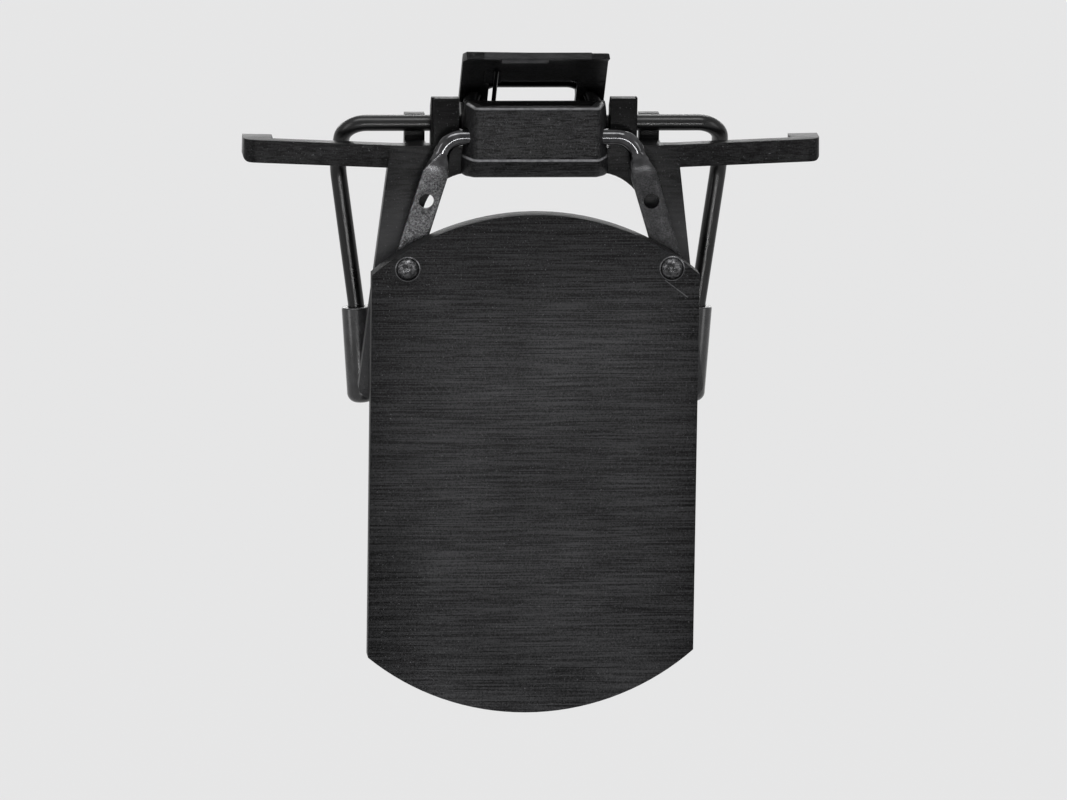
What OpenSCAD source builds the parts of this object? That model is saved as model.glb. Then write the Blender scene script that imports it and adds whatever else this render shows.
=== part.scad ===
// Flip-up eye blinder that clips on one lens of a pair of spectacles.
// +Y points to the wearer's eye and +Z is up. Left and right are as seen from the front,
// where +X is on the right.
// The origin is the middle of the grip: halfway between the two legs and the two
// sleeves, where the lens is held. Inside from_axis(), Y = 0 is the clip's front face
// and Z = 0 is the height of the jaw wire's axis.

/* [Blinder plate] */
// Width of the plate
plate_w = 30; // [26:0.5:34]
// Height of the plate's straight sides
plate_side_h = 35.5; // [28:0.5:42]
// Radius of the arcs at the plate's top and bottom
plate_arc_r = 23; // [20:0.5:40]
// Thickness of the plate
plate_t = 2; // [1.2:0.1:2.4]
// Height of the plate's top above its two rivets
plate_rise = 5; // [4:0.1:5.6]
// Distance that the plate sits to one side of its two rivets
plate_shift = 0.35; // [0:0.05:0.6]
// Distance that the lower arc is cut off the plate's middle
lower_arc_shift = 0.35; // [0:0.05:0.6]

/* [Wires] */
// Diameter of the jaw wire and of the blinder wire
wire_d = 1.5; // [1.3:0.05:1.6]

/* [Blinder wire] */
// Distance that the whole blinder sits to the right of the clip's middle
blinder_shift = 0.35; // [0:0.05:0.4]
// Distance between the two rivets
rivet_span = 24.2; // [22:0.1:26]
// Drop from the flip axis to the rivets
rivet_drop = 11.8; // [10:0.2:14]
// Angle by which each arm leans outwards
arm_splay = 17; // [12:0.5:19]
// Radius of the bend between the axle and each arm
flip_bend_r = 2; // [1.4:0.1:2.4]
// Width of the flattened ends
flat_w = 2.35; // [2.1:0.05:2.6]
// Thickness of the flattened ends
flat_t = 0.75; // [0.6:0.05:0.9]
// Length of the taper from round wire to flat
flat_taper = 2; // [0.8:0.1:2.4]
// Length of flattened wire beyond each rivet
flat_tail = 1.3; // [1.2:0.1:1.6]
// Distance from each rivet up to the spare hole in its arm
spare_pitch = 6.15; // [5:0.05:7]
// Diameter of the spare holes
spare_hole_d = 1.4; // [1:0.05:1.5]

/* [Rivets] */
// Diameter of the rivets' domed heads
rivet_head_d = 2.1; // [1.8:0.1:2.6]
// Height of the rivets' domed heads
rivet_head_h = 0.6; // [0.3:0.05:0.9]
// Diameter of the rivets' shanks
rivet_d = 1.1; // [0.8:0.05:1.3]
// Diameter of the formed tails behind the washers
rivet_tail_d = 1.7; // [1.5:0.1:2]
// Height of the formed tails
rivet_tail_h = 0.3; // [0.15:0.05:0.35]
// Diameter of the washers
washer_d = 2.3; // [2:0.1:2.6]
// Thickness of the washers
washer_t = 0.25; // [0.15:0.05:0.3]

/* [Front cover] */
// Width of the cover's front face
cover_w = 11.4; // [10.6:0.1:11.8]
// Height of the cover's front face
cover_face_h = 4.9; // [4.4:0.1:5.6]
// Height of the cover's top above the jaw axis
cover_rise = 2.45; // [1.8:0.05:2.7]
// Depth of the cover in front of the clip body
cover_depth = 3; // [2.9:0.05:3.4]
// Height of the sloping face below the front face
cover_slope_h = 1.95; // [1.2:0.05:2.2]
// Depth of the sloping face
cover_slope_run = 1.7; // [1.2:0.05:2]
// Flare of each side wall at the top, front to back
cover_flare = 0.7; // [0.2:0.05:0.8]
// Further flare of each side wall at the bottom
cover_low_flare = 0.45; // [0:0.05:0.5]
// Wall thickness of the cover
cover_wall = 0.75; // [0.6:0.05:0.8]
// Diameter of the pegs that hold the cover
peg_d = 1.1; // [0.8:0.05:1.2]
// Distance between the two pegs
peg_span = 6.8; // [5:0.1:8]
// Drop of the pegs below the jaw axis
peg_drop = 3; // [2.9:0.05:3.1]
// Diameter of the pegs' staked heads
peg_head_d = 1.7; // [1.4:0.1:1.9]
// Height of the pegs' staked heads
peg_head_h = 0.35; // [0.2:0.05:0.5]

/* [Flip axle] */
// Drop of the flip axis below the jaw axis
flip_drop = 0.6; // [0.4:0.05:0.8]
// Distance of the flip axis in front of the clip's front face
flip_front = 1.3; // [1.25:0.05:1.4]
// Thickness of the bowed leaf behind the axle
leaf_t = 0.2; // [0.15:0.01:0.22]
// Length of the leaf
leaf_l = 10.6; // [8:0.1:10.8]
// Height of the leaf, which stands on the cover's pegs
leaf_h = 2.8; // [2.6:0.1:3.6]

/* [Clip body] */
// Thickness of the legs and of the cross web
body_t = 1.5; // [1.4:0.05:1.7]
// Thickness of the wall that closes the cover's back
back_wall_t = 0.4; // [0.4:0.05:0.6]
// Distance between the tips of the two arms
arm_span = 53; // [46:0.2:60]
// Height of the arms
arm_h = 2.1; // [1.8:0.05:2.6]
// Thickness of the arms
arm_t = 1.3; // [1.1:0.05:1.5]
// Drop of the arms' top face below the jaw axis
arm_drop = 1.65; // [1.6:0.05:2]
// Distance that each arm's tip is swept back
arm_sweep = 1.7; // [0.5:0.1:2.4]
// Distance that each arm's tip is raised
arm_lift = 0.25; // [0:0.05:0.6]
// Radius of the rounded corner at each arm's tip
tip_r = 1.25; // [0.6:0.05:1.3]
// Width of the foot at each arm's tip
foot_w = 2.7; // [2:0.1:4]
// Depth of the foot behind the arm
foot_d = 1.8; // [1:0.1:3]
// Distance between the outer edges of the legs at the arms
leg_top_w = 26.3; // [25:0.1:27]
// Distance between the middles of the legs' rounded ends
leg_end_w = 29.3; // [27:0.1:31]
// Diameter of the legs' rounded ends
leg_end_d = 2.4; // [1.8:0.1:3]
// Length of the legs below the jaw axis
leg_len = 25.25; // [22:0.25:28]
// Height of the web's flat underside below the jaw axis
web_drop = 4.15; // [4.1:0.05:4.4]
// Radius of the arch where the web meets each leg
arch_r = 4.5; // [3:0.1:5]
// Width of the legs at the top of the arch
arch_leg_w = 3.2; // [2.5:0.1:3.6]
// Drop of the arch's feet below the web's underside
arch_foot = 2.45; // [1.5:0.05:4]
// Distance from each post to the start of its swept arm
arm_root = 0.2; // [0.1:0.05:1]

/* [Ears and posts] */
// Width of each ear
ear_w = 2.3; // [1.8:0.05:2.5]
// Height of the ears above the jaw axis
ear_rise = 2.7; // [1.8:0.05:3.2]
// Depth of the ears' flat tops
ear_top_d = 1.3; // [0.9:0.05:1.6]
// Extra width of the rear part of each ear
ear_step = 0.2; // [0.1:0.05:0.4]
// Gap in width between each ear and its post
post_step = 0.6; // [0.45:0.05:0.8]
// Width of each post
post_w = 1.85; // [1.4:0.05:2.2]
// Height of the posts above the jaw axis
post_rise = 0.75; // [0.5:0.05:1.2]
// Depth of the posts
post_d = 1.2; // [0.8:0.05:1.6]
// Thickness of the shelf that carries each post
shelf_t = 1.2; // [0.8:0.05:1.8]
// Distance from the jaw axis to the faces of the ears and posts
bearing_open = 0.35; // [0.2:0.05:0.5]

/* [Jaw wire] */
// Distance between the jaw wire's two corners
jaw_w = 34.6; // [33:0.2:37]
// Distance between the two knees
knee_w = 35.2; // [33.4:0.2:37.4]
// Drop of the knees below the jaw axis
knee_drop = 4.6; // [4.4:0.1:7]
// Distance of the knees behind the jaw axis
knee_back = 3.6; // [3:0.1:5]
// Distance between the wire's two legs where the sleeves begin
toe_w = 31.6; // [30:0.2:33]
// Distance between the wire's two ends
end_w = 30.4; // [29:0.2:32]
// Distance that the wire lies further back at the sleeves' mouths than at its ends
toe_back = 0.4; // [0:0.05:0.8]
// Width of the gap between a leg and a sleeve, the lens in it
lens_gap = 2.3; // [2.1:0.1:3]
// Radius of the bend at each corner
jaw_bend_r = 2.2; // [1.6:0.1:2.6]
// Radius of the bend at each knee
knee_bend_r = 3; // [2:0.1:4]
// Length of the crank's arms
crank_r = 4.1; // [4:0.05:4.3]
// Distance from the lever's sides to the crank's arms
crank_inset = 0.3; // [0.2:0.05:0.4]
// Radius of the bends at the crank's top
crank_top_r = 2.4; // [1.6:0.1:2.5]
// Radius of the bends at the crank's feet
crank_foot_r = 1; // [0.9:0.05:1.1]

/* [Sleeves] */
// Diameter of the sleeves
sleeve_d = 2.7; // [2.4:0.05:3.2]
// Length of the sleeves
sleeve_l = 9.2; // [7:0.1:10]
// Drop of the sleeves' mouths below the jaw axis
sleeve_drop = 17.4; // [16.5:0.1:18.5]
// Length of bare wire between its toe and the sleeve's mouth
toe_bare = 0.3; // [0.3:0.05:0.8]
// Rounding of the sleeves' closed ends
sleeve_round = 0.9; // [0.4:0.05:1.1]
// Thickness of the sleeves' closed ends
sleeve_floor = 0.8; // [0.5:0.05:1.2]

/* [Thumb lever] */
// Width of the lever
lever_w = 13.3; // [12.9:0.1:13.6]
// Thickness of the lever's wall
lever_t = 0.8; // [0.7:0.05:0.9]
// Lean of the wall, forward from upright
lever_lean = 42; // [38:0.5:46]
// Distance from the jaw axis to the wall's front face
lever_off = 2.2; // [2.1:0.02:2.3]
// Length of the wall above the foot of the normal from the axis
lever_l = 6.3; // [5.6:0.1:7]
// Width of the window
window_w = 8.1; // [7:0.1:8.4]
// Height of the window above the foot of the normal
window_h = 3.4; // [3:0.05:3.8]
// Height of the jambs' feet above and below the normal
jamb_foot = 0.6; // [0.4:0.05:0.8]
// Width of the blocks that hug the crank's bar
hug_w = 0.7; // [0.5:0.05:1]
// Thickness of those blocks past the bar's sides
hug_t = 0.5; // [0.3:0.05:0.7]
// Reach of those blocks past the bar's middle
hug_reach = 0.35; // [0.2:0.05:0.5]
// Radius of the barrel along the lever's foot
barrel_r = 1.9; // [1.8:0.05:1.95]
// Radius of the thinner spindle inside the spring
spindle_r = 1.3; // [1:0.05:1.4]
// Forward reach of the lip
lip_l = 2.6; // [1.6:0.1:3.2]
// Thickness of the lip
lip_t = 0.75; // [0.6:0.05:1]
// Rise of the lip, upward from level
lip_tilt = 14.5; // [10:0.5:20]
// Chamfer on the bend between wall and lip
lip_ease = 0.35; // [0.15:0.05:0.5]
// Rounding of the lip's front corners
lip_corner_r = 0.5; // [0.2:0.05:0.8]
// Width of the raised strip on the lip's front edge
lip_strip_w = 9.8; // [6:0.1:11]
// Height of the raised strip
lip_strip_h = 0.12; // [0.05:0.01:0.2]
// Distance from the raised strip to the lip's upper and lower edges
lip_strip_edge = 0.15; // [0.1:0.01:0.2]

/* [Return spring] */
// Diameter of the spring's wire
spring_wire_d = 0.42; // [0.35:0.01:0.45]
// Radius of the coil, to the middle of its wire
coil_r = 1.68; // [1.64:0.01:1.72]
// Distance from one turn to the next
coil_pitch = 0.84; // [0.84:0.01:0.88]
// Whole turns in the coil
coil_turns = 3; // [2:1:4]
// Place of the spring's upper leg, to the left of the middle
spring_x = 3.55; // [3.4:0.05:3.7]
// Length of the spring's upper leg
spring_leg_l = 5; // [4:0.1:5.4]
// Width of the pad that the upper leg presses on
spring_pad_w = 1; // [0.8:0.05:1.4]
// Length of the upper leg past its pad
spring_tip = 0.6; // [0.45:0.05:0.8]
// Gap between the coil's ends and the barrel
coil_side_gap = 0.12; // [0.05:0.01:0.2]

/* [Clearances] */
// Radial running clearance of a wire in its bearing
run_gap = 0.05; // [0.02:0.01:0.08]
// Gap between pieces that pass each other
side_gap = 0.3; // [0.25:0.01:0.35]
// Gap round a fixed piece in its seat
seat_gap = 0.03; // [0.01:0.01:0.05]

/* [Hidden] */
$fn = 48;

black_plastic = [0.07, 0.07, 0.075];
black_plate = [0.05, 0.05, 0.055];
black_wire = [0.09, 0.09, 0.095];
worn_steel = [0.28, 0.28, 0.29];
bare_steel = [0.55, 0.55, 0.57];
vinyl = [0.03, 0.03, 0.035];

// A cut runs this far past the face it cuts
over = 1;
// Thickness of the slabs that a tapered form spans
thin = 0.02;
// Facets of the large arcs
arc_fn = 240;
wire_r = wire_d / 2;
// The jaw axis stands clear of the wall behind the cover by the barrel and the gap
jaw_y = back_wall_t + side_gap + barrel_r;
flip_y = -flip_front;
flip_z = -flip_drop;

// The grip: halfway along the sleeves, in the middle of the lens gap
grip_y = body_t + lens_gap / 2;
grip_z = -(sleeve_drop + sleeve_l / 2);

// Side positions of ears and posts follow from the lever between them
ear_in = lever_w / 2 + side_gap;
ear_out = ear_in + ear_w;
post_in = ear_out + post_step;
post_out = post_in + post_w;
post_y = jaw_y + bearing_open;
ear_back = jaw_y - bearing_open;

// The top of the web clears the barrel and carries the spring's lower leg
web_top = -(coil_r + spring_wire_d / 2 + seat_gap);

// Flat faces of the blinder wire's ends
flat_front = flip_y - flat_t / 2;
flat_back = flip_y + flat_t / 2;
rivet_x = rivet_span / 2;
rivet_z = flip_z - rivet_drop;

// Corner of the blinder wire, where its arm's line meets the flip axis
flip_corner_x = rivet_x - rivet_drop * tan(arm_splay);

// Plate outline
plate_sag = plate_arc_r - sqrt(plate_arc_r * plate_arc_r - plate_w * plate_w / 4);
plate_top_z = rivet_z + plate_rise;
plate_corner_z = plate_top_z - plate_sag;
plate_bottom_z = plate_corner_z - plate_side_h - plate_sag;

// The crank's bar lies against the back of the lever's wall
bar_n = lever_off + lever_t + wire_r + seat_gap;
bar_s = sqrt(crank_r * crank_r - bar_n * bar_n);
crank_x = lever_w / 2 - crank_inset - wire_r;

// Where the wire's two legs and their sleeves lie
sleeve_y = body_t + lens_gap + sleeve_d / 2;
sleeve_end_z = -(sleeve_drop + sleeve_l);
wire_end_z = sleeve_end_z + sleeve_floor + seat_gap;
toe_y = sleeve_y + toe_back;

// Moves its children from the axis frame to the part's own frame
module from_axis() {
    translate([0, -grip_y, -grip_z]) children();
}

// Moves the blinder's pieces from the flip frame, which sits a little to the right
module from_flip() {
    from_axis() translate([blinder_shift, 0, 0]) children();
}

// Draws its children and their mirror image
module both_sides() {
    children();
    mirror([1, 0, 0]) children();
}

// Draws its child on the left when side is -1 and on the right when it is 1
module on_side(side) {
    mirror([side < 0 ? 1 : 0, 0, 0]) children();
}

// Extrudes an outline drawn in X and Z from one depth to another
module upright(y_from, y_to) {
    translate([0, y_to, 0]) rotate([90, 0, 0]) linear_extrude(y_to - y_from) children();
}

// Extrudes an outline drawn in Y and Z from one side position to another
module sideways(x_from, x_to) {
    translate([x_from, 0, 0]) rotate([90, 0, 90]) linear_extrude(x_to - x_from) children();
}

// Bent wire

function unit(v) = v / norm(v);

// Direction of the run that starts at point i
function run_dir(path, i) = unit(path[i + 1] - path[i]);

// Angle that the path turns through at point i
function turn(path, i) = acos(run_dir(path, i - 1) * run_dir(path, i));

// Length taken from each run by the bend at point i
function bend_cut(path, radii, i) =
    i == 0 || i == len(path) - 1 ? 0 : radii[i] * tan(turn(path, i) / 2);

// One straight run of round wire
module wire_run(from, to, d) {
    way = to - from;
    translate(from)
        rotate([0, acos(way.z / norm(way)), atan2(way.y, way.x)])
            cylinder(d = d, h = norm(way));
}

// One bend of round wire at point i of the path
module wire_bend(path, radii, i, d) {
    a = run_dir(path, i - 1);
    b = run_dir(path, i);
    axis = unit(cross(a, b));
    out = -cross(axis, a);
    start = path[i] - a * bend_cut(path, radii, i);
    middle = start - out * radii[i];
    multmatrix([[out.x, a.x, axis.x, middle.x],
                [out.y, a.y, axis.y, middle.y],
                [out.z, a.z, axis.z, middle.z]])
        rotate_extrude(angle = turn(path, i))
            translate([radii[i], 0]) circle(d = d);
}

// Round wire bent along a path, with a radius for each inner point
module bent_wire(path, radii, d) {
    last = len(path) - 1;
    for (i = [0 : last - 1])
        wire_run(path[i] + run_dir(path, i) * bend_cut(path, radii, i),
                 path[i + 1] - run_dir(path, i) * bend_cut(path, radii, i + 1), d);
    for (i = [1 : last - 1]) wire_bend(path, radii, i, d);
}

// The lever's own plane: X is the distance behind the jaw axis, Y runs up the wall

module lever_plane() {
    translate([jaw_y, 0]) rotate(lever_lean) children();
}

// Depth and height of a point given in the lever's plane
function lever_point(n, s) = [jaw_y + n * cos(lever_lean) - s * sin(lever_lean),
                              n * sin(lever_lean) + s * cos(lever_lean)];

leg_z = -(arm_drop + arm_h);
leg_end_x = leg_end_w / 2;
leg_end_z = -(leg_len - leg_end_d / 2);
// The legs' inner edges run from the arch to the rounded ends
arch_foot_z = -(web_drop + arch_foot);
arch_foot_x = leg_top_w / 2 - arch_leg_w;
leg_inner_x = leg_end_x - leg_end_d / 2;
inner_slope = (leg_inner_x - arch_foot_x) / (arch_foot_z - leg_end_z);
arch_z = -(web_drop + arch_r);
arch_x = arch_foot_x + (arch_foot_z - arch_z) * inner_slope - arch_r / cos(atan(inner_slope));
// The arms leave the web in line with it and sweep back from here
arm_root_x = post_out + arm_root;
arm_tip_x = arm_span / 2;

// Open space between the legs, under the web
module arch_outline() {
    hull() {
        for (side = [-1, 1]) translate([side * arch_x, arch_z]) circle(r = arch_r);
        translate([-leg_inner_x, leg_end_z - leg_end_d])
            square([2 * leg_inner_x, leg_end_d]);
    }
}

// Front view of the web and both legs
module frame_outline() {
    difference() {
        both_sides() {
            hull() {
                translate([leg_end_x, leg_end_z]) circle(d = leg_end_d);
                translate([ear_in, leg_z]) square([leg_top_w / 2 - ear_in, arm_h]);
            }
            translate([0, arch_z]) square([ear_in + over, web_top - arch_z]);
        }
        arch_outline();
    }
}

// Top view of the right arm, its rounded tip and its foot
module arm_plan() {
    tip_y = arm_sweep;
    polygon([[arm_root_x, 0], [arm_tip_x - tip_r, tip_y],
             [arm_tip_x - tip_r, tip_y + arm_t], [arm_root_x, arm_t]]);
    translate([arm_tip_x - tip_r, tip_y + tip_r]) circle(r = tip_r);
    translate([arm_tip_x - foot_w, tip_y + tip_r])
        square([foot_w, arm_t - tip_r + foot_d]);
}

module arm() {
    lift = atan(arm_lift / (arm_tip_x - arm_root_x));
    under_r = arm_h / 4;
    difference() {
        translate([arm_root_x, 0, leg_z]) rotate([0, -lift, 0]) translate([-arm_root_x, 0, 0])
            linear_extrude(arm_h) arm_plan();
        // The tip's lower corner is rounded off
        translate([arm_tip_x - under_r, -over, leg_z + arm_lift + under_r]) rotate([-90, 0, 0])
            difference() {
                cube([over, arm_h, arm_span]);
                translate([0, 0, -over]) cylinder(r = under_r, h = arm_span + 2 * over);
            }
    }
    // Straight stretch between the post and the swept arm
    translate([ear_in, 0, leg_z]) cube([arm_root_x - ear_in + wire_r, arm_t, arm_h]);
}

// One bearing lug in front of the jaw wire
module ear() {
    sideways(ear_in, ear_out)
        polygon([[0, leg_z], [0, ear_rise], [ear_top_d, ear_rise],
                 [ear_back, ear_rise - (ear_back - ear_top_d)], [ear_back, leg_z]]);
    // The rear part is a little wider
    sideways(ear_out - over, ear_out + ear_step)
        polygon([[ear_top_d / 2, leg_z], [ear_top_d / 2, ear_rise], [ear_top_d, ear_rise],
                 [ear_back, ear_rise - (ear_back - ear_top_d)], [ear_back, leg_z]]);
}

// One post behind the jaw wire, on its shelf
module post() {
    translate([post_in, post_y, -arm_drop - shelf_t])
        cube([post_w, post_d, shelf_t + arm_drop + post_rise]);
    translate([post_in, 0, -arm_drop - shelf_t])
        cube([post_w, post_y + post_d, shelf_t]);
}

module clip_body() {
    color(black_plastic) from_axis() difference() {
        union() {
            upright(0, body_t) frame_outline();
            // Wall that closes the cover's back
            upright(0, back_wall_t)
                translate([-cover_w / 2 - cover_flare, -web_drop])
                    square([cover_w + 2 * cover_flare, web_drop + cover_rise]);
            both_sides() {
                arm();
                ear();
                post();
            }
        }
        // Bearing grooves for the jaw wire
        translate([-post_out - over, jaw_y, 0]) rotate([0, 90, 0])
            cylinder(r = wire_r + run_gap, h = 2 * (post_out + over));
        // Holes for the cover's pegs
        for (side = [-1, 1]) translate([side * peg_span / 2, -over, -peg_drop])
            rotate([-90, 0, 0]) cylinder(d = peg_d + 2 * seat_gap, h = body_t + 2 * over);
    }
}

// The cover's outer form, or its inside when inset is the wall
module cover_form(inset, up) {
    face_z = cover_rise - cover_face_h;
    back_w = cover_w + 2 * cover_flare;
    hull() {
        translate([-cover_w / 2 + inset, -cover_depth + inset, face_z])
            cube([cover_w - 2 * inset, thin, cover_face_h + up]);
        translate([-cover_w / 2 + inset, inset - cover_depth + cover_slope_run,
                   face_z - cover_slope_h + inset])
            cube([cover_w - 2 * inset, thin, thin]);
        upright(-thin, 0)
            polygon([[-back_w / 2 + inset, cover_rise + up], [back_w / 2 - inset, cover_rise + up],
                     [back_w / 2 + cover_low_flare - inset, face_z - cover_slope_h + inset],
                     [-back_w / 2 - cover_low_flare + inset, face_z - cover_slope_h + inset]]);
    }
}

module front_cover() {
    slot = wire_r + run_gap;
    color(black_plastic) from_axis() {
        difference() {
            cover_form(0, 0);
            translate([0, thin, 0]) cover_form(cover_wall, over);
            // Round-ended slots that carry the flip axle
            translate([-arm_tip_x, flip_y, flip_z]) rotate([0, 90, 0])
                cylinder(r = slot, h = arm_span);
            translate([-arm_tip_x, flip_y, flip_z - slot])
                cube([arm_span, flip_front + over, 2 * slot]);
        }
        // Pegs through the web, with staked heads behind it
        for (side = [-1, 1]) translate([side * peg_span / 2, 0, -peg_drop]) rotate([-90, 0, 0]) {
            translate([0, 0, cover_wall - cover_depth])
                cylinder(d = peg_d, h = cover_depth - cover_wall + body_t);
            translate([0, 0, body_t]) cylinder(d = peg_head_d, h = peg_head_h);
        }
    }
}

// Bowed leaf between the clip body and the flip axle
module detent_leaf() {
    front = flip_y + wire_r + run_gap;
    sag = -seat_gap - leaf_t - front;
    bow_r = (leaf_l * leaf_l / 4 + sag * sag) / (2 * sag);
    color(bare_steel) from_axis()
        translate([0, 0, seat_gap + peg_d / 2 - peg_drop]) linear_extrude(leaf_h)
            intersection() {
                translate([0, front + bow_r]) difference() {
                    circle(r = bow_r, $fn = arc_fn);
                    circle(r = bow_r - leaf_t, $fn = arc_fn);
                }
                translate([-leaf_l / 2, front - over]) square([leaf_l, over + sag + leaf_t]);
            }
}

// The wire, lever, sleeves and spring turn together
bar_at = lever_point(bar_n, bar_s);

// The wire's points on the right, from its end to the crank's top
jaw_half = [
    [end_w / 2, sleeve_y, wire_end_z],
    [toe_w / 2, toe_y, -sleeve_drop],
    [knee_w / 2, jaw_y + knee_back, -knee_drop],
    [jaw_w / 2, jaw_y, 0],
    [crank_x, jaw_y, 0],
    [crank_x, bar_at.x, bar_at.y]
];
jaw_radii = [0, knee_bend_r, knee_bend_r, jaw_bend_r, crank_foot_r, crank_top_r];
jaw_path = [for (p = jaw_half) p,
            for (i = [len(jaw_half) - 1 : -1 : 0]) [-jaw_half[i].x, jaw_half[i].y, jaw_half[i].z]];
jaw_bends = [for (r = jaw_radii) r, for (i = [len(jaw_radii) - 1 : -1 : 0]) jaw_radii[i]];

module jaw_wire() {
    color(black_wire) from_axis() bent_wire(jaw_path, jaw_bends, wire_d);
}

// Vinyl sleeve over one end of the jaw wire
module sleeve(side) {
    toe = jaw_half[1];
    way = unit(jaw_half[0] - toe);
    long = sleeve_l / -way.z;
    color(vinyl) from_axis() on_side(side)
        translate(toe) rotate([0, acos(way.z), atan2(way.y, way.x)]) difference() {
            rotate_extrude() difference() {
                translate([0, toe_bare]) union() {
                    square([sleeve_d / 2, long - toe_bare - sleeve_round]);
                    square([sleeve_d / 2 - sleeve_round, long - toe_bare]);
                    translate([sleeve_d / 2 - sleeve_round, long - toe_bare - sleeve_round])
                        circle(r = sleeve_round);
                }
                translate([-over - sleeve_round, 0]) square([over + sleeve_round, long + over]);
            }
            cylinder(d = wire_d + 2 * seat_gap, h = norm(jaw_half[0] - toe) + seat_gap);
        }
}

module left_sleeve() { sleeve(-1); }
module right_sleeve() { sleeve(1); }

jamb_in = window_w / 2;
spring_pad_t = lever_off - coil_r - spring_wire_d / 2 - seat_gap;
coil_turn_angle = lever_lean + 90 + 360 * coil_turns;
coil_length = coil_pitch * coil_turn_angle / 360;
spindle_from = -spring_x - spring_wire_d / 2 - coil_side_gap;
spindle_to = -spring_x + coil_length + spring_wire_d / 2 + coil_side_gap;

// Depth and height of a point of the lip, forward and up from the wall's front face
lip_along = [-cos(lip_tilt), sin(lip_tilt)];
lip_above = [sin(lip_tilt), cos(lip_tilt)];
function lip_point(f, u) = lever_point(lever_off, lever_l) + f * lip_along + u * lip_above;

// Outline of the wall and its lip, seen from the side
function lever_outline() =
    let (rear_s = lever_l + (lip_t - lever_t * sin(lever_lean + lip_tilt)) / cos(lever_lean + lip_tilt),
         rear = lever_point(lever_off + lever_t, rear_s))
    [lever_point(lever_off, window_h), lip_point(0, 0), lip_point(lip_l, 0), lip_point(lip_l, lip_t),
     rear + lip_ease * lip_along, lever_point(lever_off + lever_t, rear_s - lip_ease),
     lever_point(lever_off + lever_t, window_h)];

// Wall above the window, bent forward into the lip that the thumb and finger rest on
module wall_and_lip() {
    front = lever_outline()[2].x - thin;
    intersection() {
        sideways(-lever_w / 2, lever_w / 2) polygon(lever_outline());
        // Top view with rounded front corners
        linear_extrude(3 * lever_l) hull() {
            for (side = [-1, 1])
                translate([side * (lever_w / 2 - lip_corner_r), front + lip_corner_r])
                    circle(r = lip_corner_r);
            translate([-lever_w / 2, jaw_y]) square([lever_w, lever_off]);
        }
    }
    // Raised strip on the lip's front edge
    sideways(-lip_strip_w / 2, lip_strip_w / 2)
        polygon([lip_point(lip_l - lip_strip_h, lip_strip_edge),
                 lip_point(lip_l + lip_strip_h, lip_strip_edge),
                 lip_point(lip_l + lip_strip_h, lip_t - lip_strip_edge),
                 lip_point(lip_l - lip_strip_h, lip_t - lip_strip_edge)]);
}

module thumb_lever() {
    color(black_plastic) from_axis() {
        difference() {
            union() {
                wall_and_lip();
                both_sides() {
                    // Jambs beside the window, joined to the barrel at their feet
                    sideways(jamb_in, lever_w / 2) lever_plane() {
                        translate([lever_off, -jamb_foot]) square([lever_t, window_h + jamb_foot]);
                        translate([wire_r, -jamb_foot])
                            square([lever_off + lever_t / 2 - wire_r, 2 * jamb_foot]);
                    }
                    // Blocks that hug the crank's bar
                    sideways(jamb_in, jamb_in + hug_w) lever_plane()
                        translate([lever_off, bar_s - wire_r - hug_t])
                            square([bar_n - lever_off + hug_reach, wire_d + 2 * hug_t]);
                }
                // Barrel moulded round the crank's feet, with a thinner spindle in the coil
                sideways(-lever_w / 2, spindle_from) translate([jaw_y, 0]) circle(r = barrel_r);
                sideways(spindle_from, spindle_to) translate([jaw_y, 0]) circle(r = spindle_r);
                sideways(spindle_to, lever_w / 2) translate([jaw_y, 0]) circle(r = barrel_r);
                // Seat of the spring's upper leg
                sideways(-jamb_in - spring_pad_w / 2, -spring_x + spring_pad_w / 2) lever_plane()
                    translate([lever_off - spring_pad_t, window_h])
                        square([spring_pad_t + lever_t / 2, spring_leg_l - window_h]);
            }
            bent_wire(jaw_path, jaw_bends, wire_d + 2 * seat_gap);
        }
    }
}

// The return spring is one tube along its leg, coil and second leg
ring_sides = 6;
rings_per_turn = 8;

// Point of the coil after a turn of a degrees, counted from the upper leg
function coil_point(a) = [-spring_x + coil_pitch * a / 360,
                          jaw_y + coil_r * cos(lever_lean - a),
                          coil_r * sin(lever_lean - a)];

coil_rings = ceil(coil_turn_angle / 360 * rings_per_turn);
leg_up = [0, -sin(lever_lean), cos(lever_lean)];
spring_path = [
    coil_point(0) + leg_up * (spring_leg_l + spring_tip),
    coil_point(0) + leg_up * spring_wire_d,
    for (i = [0 : coil_rings]) coil_point(coil_turn_angle * i / coil_rings),
    coil_point(coil_turn_angle) - [0, spring_wire_d, 0],
    [coil_point(coil_turn_angle).x, back_wall_t + side_gap / 2, coil_point(coil_turn_angle).z]
];

// Ring of points round point i of the spring's path
function spring_ring(i) =
    let (last = len(spring_path) - 1,
         way = unit(spring_path[min(i + 1, last)] - spring_path[max(i - 1, 0)]),
         side = unit([1, 0, 0] - way * way.x),
         out = cross(way, side))
    [for (k = [0 : ring_sides - 1])
        spring_path[i] + spring_wire_d / 2 * (side * cos(360 * k / ring_sides)
                                              + out * sin(360 * k / ring_sides))];

module return_spring() {
    rings = len(spring_path);
    points = [for (i = [0 : rings - 1]) each spring_ring(i)];
    walls = [for (i = [0 : rings - 2], k = [0 : ring_sides - 1])
        let (a = i * ring_sides + k,
             b = i * ring_sides + (k + 1) % ring_sides)
        each [[a, b, b + ring_sides], [a, b + ring_sides, a + ring_sides]]];
    caps = [for (k = [1 : ring_sides - 2])
        each [[0, k + 1, k],
              [(rings - 1) * ring_sides, (rings - 1) * ring_sides + k,
               (rings - 1) * ring_sides + k + 1]]];
    color(bare_steel) from_axis() polyhedron(points = points, faces = concat(walls, caps));
}

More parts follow.
